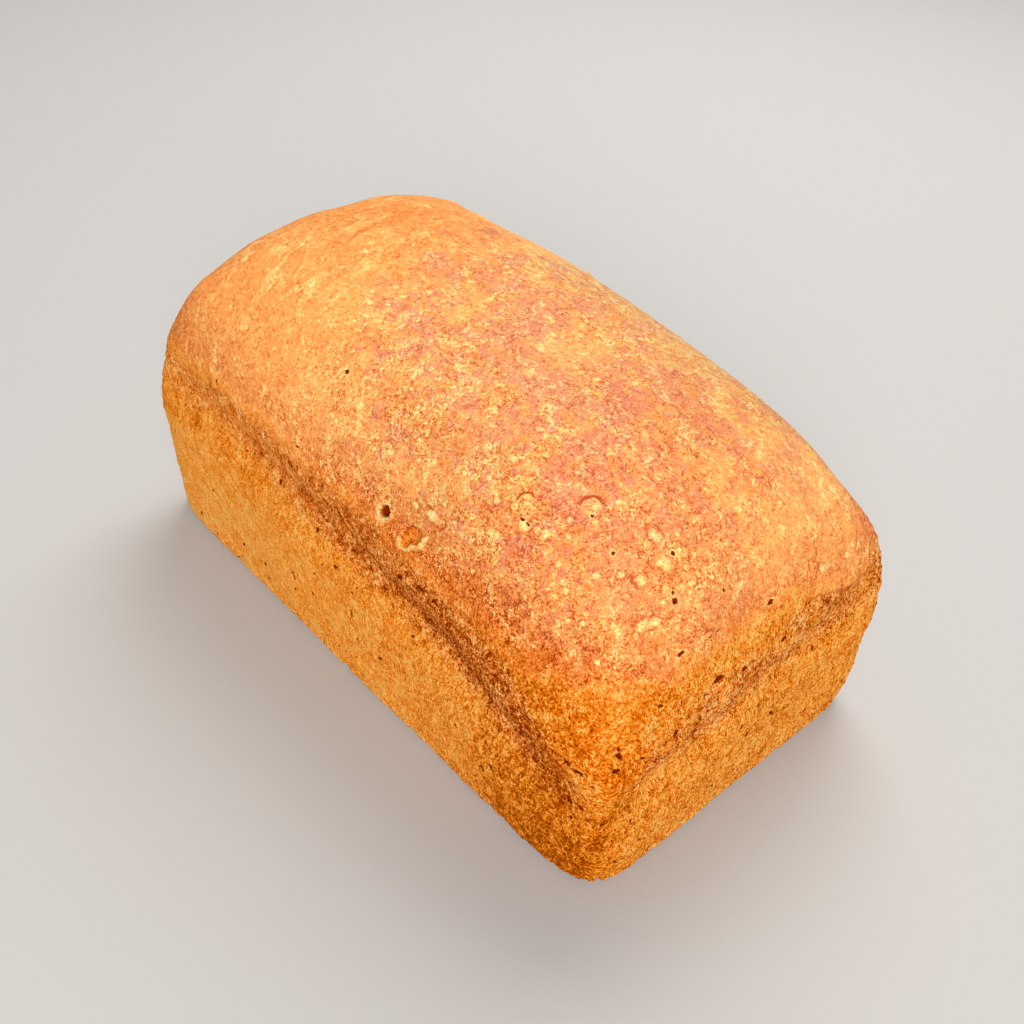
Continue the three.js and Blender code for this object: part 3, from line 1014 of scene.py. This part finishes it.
# The walls, likewise: the dark zone under the shoulder, browner crust with painted shade, has a
# ragged edge and gaps, and it is painted lighter on its ridges' tops and darker in their grooves.
pits = dots(91.0, 3.0, 0.55, 0.3)
uneven_dark = weighted(
    read_mask("dark"),
    (centred(noise(moved(40.0), 6.0, detail=4.0, roughness=0.65)), 1.6),
    (read_mask("ridge"), -2.2),
)
gaps = product(near_end, grains(57.0, 11.0, 0.58, 0.44, most=0.85))
dark_share = product(
    ramp_between(uneven_dark, 0.0, 1.0),
    ramp_between(read_mask("dark"), 0.0, 0.4),
    inverse(gaps),
)
# Painted light: the walls are lightened towards the far end, where their grain is also weaker.
far_wall = along_axis("X", 50.0, -45.0)
# Painted light: the near end wall is lightened.
end_wall_painted_light = product(near_end, along_axis("Y", -46.0, -30.0))
# Painted shade: the front wall is darkened low down near the near corner.
base_corner_painted_shade = product(
    along_axis("X", 48.0, 84.0),
    along_axis("Y", -42.0, -49.0),
    along_axis("Z", 36.0, 14.0),
)
# Painted light: the lower front wall, away from the near corner, is lightened and made a brighter
# orange.
front_foot_painted_light = product(
    along_axis("X", 62.0, 36.0),
    along_axis("Y", -44.0, -48.0),
    along_axis("Z", 44.0, 28.0),
)
# Painted shade: a patch of the front wall near the near corner, at mid height, is darkened.
front_dip_painted_shade = product(
    along_axis("X", 61.0, 68.0),
    along_axis("X", 85.0, 78.0),
    along_axis("Z", 20.0, 27.0),
    along_axis("Z", 46.0, 39.0),
    along_axis("Y", -44.0, -48.0),
)
# The fine grain is the wall's bump and also a swing in its tone, so the grains' tops are painted
# lighter and their hollows darker: painted highlights and painted shade over the wall's mottling.
wall_fine = layered(83.0, 0.0, (0.5, 2.2), (1.15, 1.9))
wall_life = weighted(1.0, (far_wall, -0.4), (front_foot_painted_light, -0.1))
wall_tone = weighted(
    layered(113.0, 0.57, (3.2, 1.0), (9.0, 0.6)),
    (wall_fine, wall_life),
    (far_wall, 0.13),
    (end_wall_painted_light, 0.13),
    (base_corner_painted_shade, -0.36),
    (front_dip_painted_shade, -0.13),
    (front_foot_painted_light, 0.14),
    (dark_share, -0.13),
    (ember_share, -0.02),
    (pits, -0.4),
)
wall = tones(
    wall_tone,
    (0.28, 0.044, 0.0005),
    (0.44, 0.088, 0.001),
    (0.63, 0.148, 0.004),
    (0.80, 0.215, 0.013),
    (0.93, 0.295, 0.030),
    (0.98, 0.380, 0.058),
    (0.98, 0.510, 0.120),
)
ember = tones(
    wall_tone,
    (0.33, 0.038, 0.0002),
    (0.52, 0.080, 0.0005),
    (0.69, 0.133, 0.0015),
    (0.82, 0.190, 0.006),
    (0.90, 0.265, 0.020),
    (0.93, 0.365, 0.052),
    (0.94, 0.510, 0.120),
)
brown = tones(
    wall_tone,
    (0.175, 0.016, 0.0002),
    (0.32, 0.047, 0.0008),
    (0.49, 0.098, 0.005),
    (0.71, 0.175, 0.021),
    (0.90, 0.300, 0.062),
    (0.97, 0.440, 0.130),
    (0.97, 0.600, 0.230),
)
blush = product(grains(47.0, 8.0, 0.44, 0.62, most=0.6), ramp_between(drop, 26.0, 0.0))
wall = mix_colours(math_node("MAXIMUM", blush, ember_share), wall, ember)
# Painted light: brighter orange on the lower front wall.
wall = mix_colours(product(front_foot_painted_light, 0.2), wall, painted_light_orange)
wall = mix_colours(dark_share, wall, brown)

# The whole crust: the wall gives way to the crown along a wandering line, and the marks lie on top.
wander = centred(noise(moved(1.0), 6.0, detail=4.0, roughness=0.65))
far_corner = product(near_end, along_axis("Y", 5.0, 35.0))
wall_reach = weighted(drop, (wander, 11.0), (near_end, 3.5), (far_corner, -9.0))
wall_share = ramp_between(wall_reach, -4.5, 3.5)
colour = mix_colours(wall_share, crown, wall)
torn = tones(
    weighted(total(crown_tone, 0.2), (torn_shade, -0.45)),
    (0.26, 0.03, 0.002),
    (0.50, 0.080, 0.004),
    (0.74, 0.170, 0.010),
    (0.84, 0.270, 0.040),
)
colour = mix_colours(product(rim_share, 0.5), colour, straw)
colour = mix_colours(product(torn_share, 0.92), colour, torn)
colour = mix_colours(product(groove_share, 0.8), colour, rust)
colour = mix_colours(pore_share, colour, deep_rust)

# Fine relief in millimetres, too small for the mesh.
crown_relief = product(crown_fine, 0.5)
wall_relief = product(wall_fine, 0.9)
relief_height = node(
    "ShaderNodeMix", {0: wall_share, 2: crown_relief, 3: wall_relief}, data_type="FLOAT"
).outputs[0]
bump = node(
    "ShaderNodeBump",
    {"Height": relief_height, "Distance": 1 / millimetres, "Strength": 0.9},
)
crown_roughness = ramp_between(crown_tone, 0.2, 0.8, to_low=0.6, to_high=0.42)
wall_roughness = 0.7
roughness = node(
    "ShaderNodeMix",
    {0: wall_share, 2: crown_roughness, 3: wall_roughness},
    data_type="FLOAT",
).outputs[0]
sheen = product(
    inverse(wall_share),
    inverse(toasted_share),
    inverse(pore_share),
    ramp_between(axes["X"], -60.0, 10.0, to_low=0.06, to_high=0.18),
)
shader = node(
    "ShaderNodeBsdfPrincipled",
    {
        "Base Color": colour,
        "Roughness": roughness,
        "Specular IOR Level": sheen,
        "Normal": bump.outputs[0],
    },
)
node("ShaderNodeOutputMaterial", {"Surface": shader.outputs[0]})

# The relief is baked into a plain mesh, with fewer faces where the crust is smooth.
modifier = loaf.modifiers.new("relief", "NODES")
modifier.node_group = relief
for identifier, value in relief_inputs.values():
    if value is not None:
        modifier[identifier] = value
modifier[relief_inputs["Material"][0]] = crust
most_triangles = 188000
trimmed = loaf.modifiers.new("fewer_faces", "DECIMATE")
trimmed.ratio = most_triangles / (2 * len(faces))
evaluated = loaf.evaluated_get(bpy.context.evaluated_depsgraph_get())
baked = bpy.data.meshes.new_from_object(evaluated)
loaf.modifiers.clear()
loaf.data = baked
for cloud in (open_pores, torn_patches, blisters, ringed_blisters, pale_granules):
    bpy.data.objects.remove(cloud)

# The loaf's own map: the crown fills the lower half, the four walls lie above it, and the base
# has a small place beside them.
crown_middle = (0.5, 0.27)
crown_reach = (0.485, 0.26)
wall_rise = 0.13
side_middle = 0.39
side_reach = 0.36
side_rows = (0.56, 0.71)
end_row = 0.855
end_reach = 0.2
end_columns = (0.22, 0.64)
base_middle = (0.885, 0.695)
base_reach = (0.075, 0.13)
on_border = 0.9999


def read_values(name):
    """What one value of the crust comes to at every point, now that the relief is baked in."""
    values = np.zeros(len(baked.vertices), dtype=np.float32)
    baked.attributes[name].data.foreach_get("value", values)
    return values.astype(float)


spread_alpha = read_values("place_alpha")
spread_beta = read_values("place_beta")
down = read_values("place_down")
corners = np.zeros(len(baked.loops), dtype=np.int32)
baked.loops.foreach_get("vertex_index", corners)
starts = np.zeros(len(baked.polygons), dtype=np.int32)
baked.polygons.foreach_get("loop_start", starts)
totals = np.zeros(len(baked.polygons), dtype=np.int32)
baked.polygons.foreach_get("loop_total", totals)
face_of = np.repeat(np.arange(len(starts)), totals)


def face_mean(values):
    """For each corner of a face, the mean of a value over the face's corners."""
    return (np.bincount(face_of, weights=values[corners]) / totals)[face_of]


mean_down = face_mean(down)
mean_alpha = face_mean(spread_alpha)
mean_beta = face_mean(spread_beta)
alpha_here = spread_alpha[corners]
beta_here = spread_beta[corners]
down_here = np.clip(down[corners], 0, 1)
widened = np.minimum(1 + 0.3 * down_here, 1.02)
crown_x = crown_middle[0] + crown_reach[0] * alpha_here * widened
crown_y = crown_middle[1] + crown_reach[1] * beta_here * widened
place = np.stack([crown_x, crown_y], axis=-1)
on_wall = (mean_down > 0.001) & (mean_down <= 1)
on_side = on_wall & (np.abs(mean_beta) >= np.abs(mean_alpha))
on_end = on_wall & ~on_side
past_end = np.sign(alpha_here) * (1 - np.abs(beta_here)) * width / length
side_run = alpha_here + np.where(np.abs(alpha_here) >= on_border, past_end, 0)
side_row = np.where(mean_beta < 0, *side_rows)
side_place = np.stack([side_middle + side_reach * side_run, side_row + wall_rise * down_here], axis=-1)
past_side = np.sign(beta_here) * (1 - np.abs(alpha_here)) * length / width
end_run = beta_here + np.where(np.abs(beta_here) >= on_border, past_side, 0)
end_column = np.where(mean_alpha < 0, *end_columns)
end_place = np.stack([end_column + end_reach * end_run, end_row + wall_rise * down_here], axis=-1)
place = np.where(on_side[:, None], side_place, place)
place = np.where(on_end[:, None], end_place, place)

# No point of the crust may lie outside the solid's box.
coordinates = np.zeros(len(baked.vertices) * 3, dtype=np.float32)
baked.vertices.foreach_get("co", coordinates)
coordinates = np.clip(coordinates.reshape(-1, 3), cad_box[0], cad_box[1]).astype(np.float32)
baked.vertices.foreach_set("co", coordinates.ravel())
across_base = coordinates[corners, 1] / (width / 2000)
along_base = coordinates[corners, 0] / (length / 2000)
base_x = base_middle[0] + base_reach[0] * across_base
base_y = base_middle[1] + base_reach[1] * along_base
place = np.where((mean_down > 1)[:, None], np.stack([base_x, base_y], axis=-1), place)
own_map = baked.uv_layers.new(name="OFBake")
own_map.data.foreach_set("uv", np.clip(place, 0, 1).astype(np.float32).ravel())
for name in ("place_alpha", "place_beta", "place_down"):
    baked.attributes.remove(baked.attributes[name])
baked.shade_smooth()

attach(loaf, "root")
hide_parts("loaf")


# --------------------------------------
# The floor: a plain sheet of pale paper that carries the loaf. It runs three metres each way, so
# that none of its edges comes into view.

floor_mesh = bpy.data.meshes.new("floor")
floor_reach = 3.0
floor_corners = [(floor_reach * x, floor_reach * y, 0) for x, y in ((-1, -1), (1, -1), (1, 1), (-1, 1))]
floor_mesh.from_pydata(floor_corners, [], [(0, 1, 2, 3)])
floor = bpy.data.objects.new("floor", floor_mesh)
bpy.context.scene.collection.objects.link(floor)
paper = bpy.data.materials.new("pale_paper")
paper.use_nodes = True
paper_shader = paper.node_tree.nodes["Principled BSDF"]
paper_shader.inputs["Base Color"].default_value = (0.42, 0.416, 0.408, 1)
paper_shader.inputs["Roughness"].default_value = 0.8
floor_mesh.materials.append(paper)


# --------------------------------------
# Light: a broad soft box over a metre off towards the near corner, which reaches both near walls
# alike, a smaller one above and behind the loaf, and pale light all round.

world = bpy.data.worlds.new("studio")
world.use_nodes = True
background = world.node_tree.nodes["Background"]
background.inputs["Color"].default_value = (1.0, 0.98, 0.95, 1)
background.inputs["Strength"].default_value = 0.42
bpy.context.scene.world = world


def soft_box(name, place, size, power, colour):
    """A square lamp of one size in metres and one power in watts, aimed at the loaf."""
    towards = (0, 0, 0.05)
    lamp = bpy.data.lights.new(name, "AREA")
    lamp.shape = "SQUARE"
    lamp.size = size
    lamp.energy = power
    lamp.color = colour
    holder = bpy.data.objects.new(name, lamp)
    holder.location = place
    holder.rotation_euler = (Vector(towards) - Vector(place)).to_track_quat("-Z", "Y").to_euler()
    bpy.context.scene.collection.objects.link(holder)


soft_box("overhead", (-0.3, 0.5, 0.85), 0.7, 9.5, (1.0, 0.98, 0.95))
soft_box("front", (1.05, -0.95, 0.7), 1.0, 35.5, (1.0, 0.97, 0.93))


# --------------------------------------
# The camera stands close, at the near corner, looks down about 39 degrees and leans a little.

azimuth = math.radians(45.7)
elevation = math.radians(39.28)
roll = math.radians(4.29)
away = 0.29457
aim = Vector((0.0127, -0.00486, 0.04))
back = Vector(
    (
        math.sin(azimuth) * math.cos(elevation),
        -math.cos(azimuth) * math.cos(elevation),
        math.sin(elevation),
    )
)
level_right = (-back).cross(Vector((0, 0, 1))).normalized()
level_up = level_right.cross(-back)
right = level_right * math.cos(roll) + level_up * math.sin(roll)
up = level_up * math.cos(roll) - level_right * math.sin(roll)
camera_data = bpy.data.cameras.new("camera")
camera_data.sensor_width = 36
camera_data.lens = 40
camera_data.clip_start = 0.01
camera = bpy.data.objects.new("camera", camera_data)
turned = Matrix((right, up, back)).transposed().to_4x4()
camera.matrix_world = Matrix.Translation(aim + back * away) @ turned
bpy.context.scene.collection.objects.link(camera)
bpy.context.scene.camera = camera
bpy.context.scene.view_settings.view_transform = "Standard"
bpy.context.scene.view_settings.exposure = 0.0
